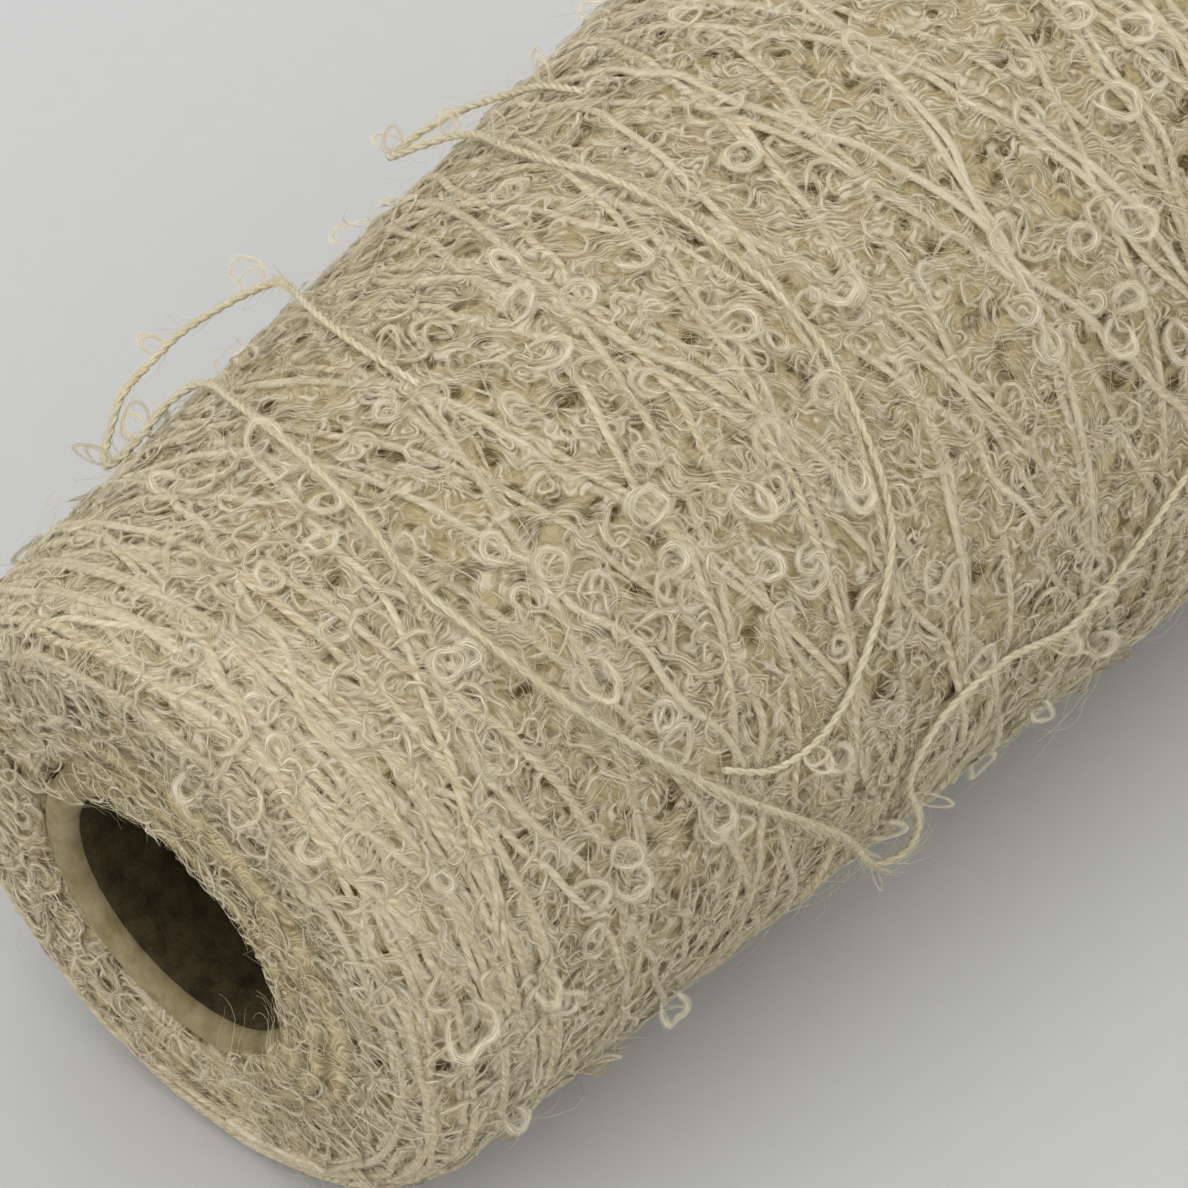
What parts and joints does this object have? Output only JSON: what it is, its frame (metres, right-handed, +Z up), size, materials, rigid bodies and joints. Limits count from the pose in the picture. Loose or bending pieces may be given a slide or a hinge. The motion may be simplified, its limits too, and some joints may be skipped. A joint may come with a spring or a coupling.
{
  "type": "cone of looped mohair yarn",
  "caption": "Cream looped mohair yarn cross-wound on a tapered paper cone, lying on its side with two loose strands.",
  "frame": {"origin": "centre of the package's box, without the loose strands, at the height of the surface that it lies on", "axes": "+X from the nose of the paper cone towards its base, along the surface; +Z up; the cone's own axis rises 4.33 degrees towards +X because the winding lies on a straight line of its skin"},
  "size_m": [0.1733, 0.0951, 0.0939],
  "materials": {
    "mohair": "looped mohair strands, soft and hairy with a silky sheen",
    "paper": "wound grey-beige paperboard, dull"
  },
  "bodies": {
    "root": {"paper_cone": "paper", "wound_yarn": "mohair", "loose_strand_near": "mohair", "loose_strand_far": "mohair"}
  },
  "joints": []
}
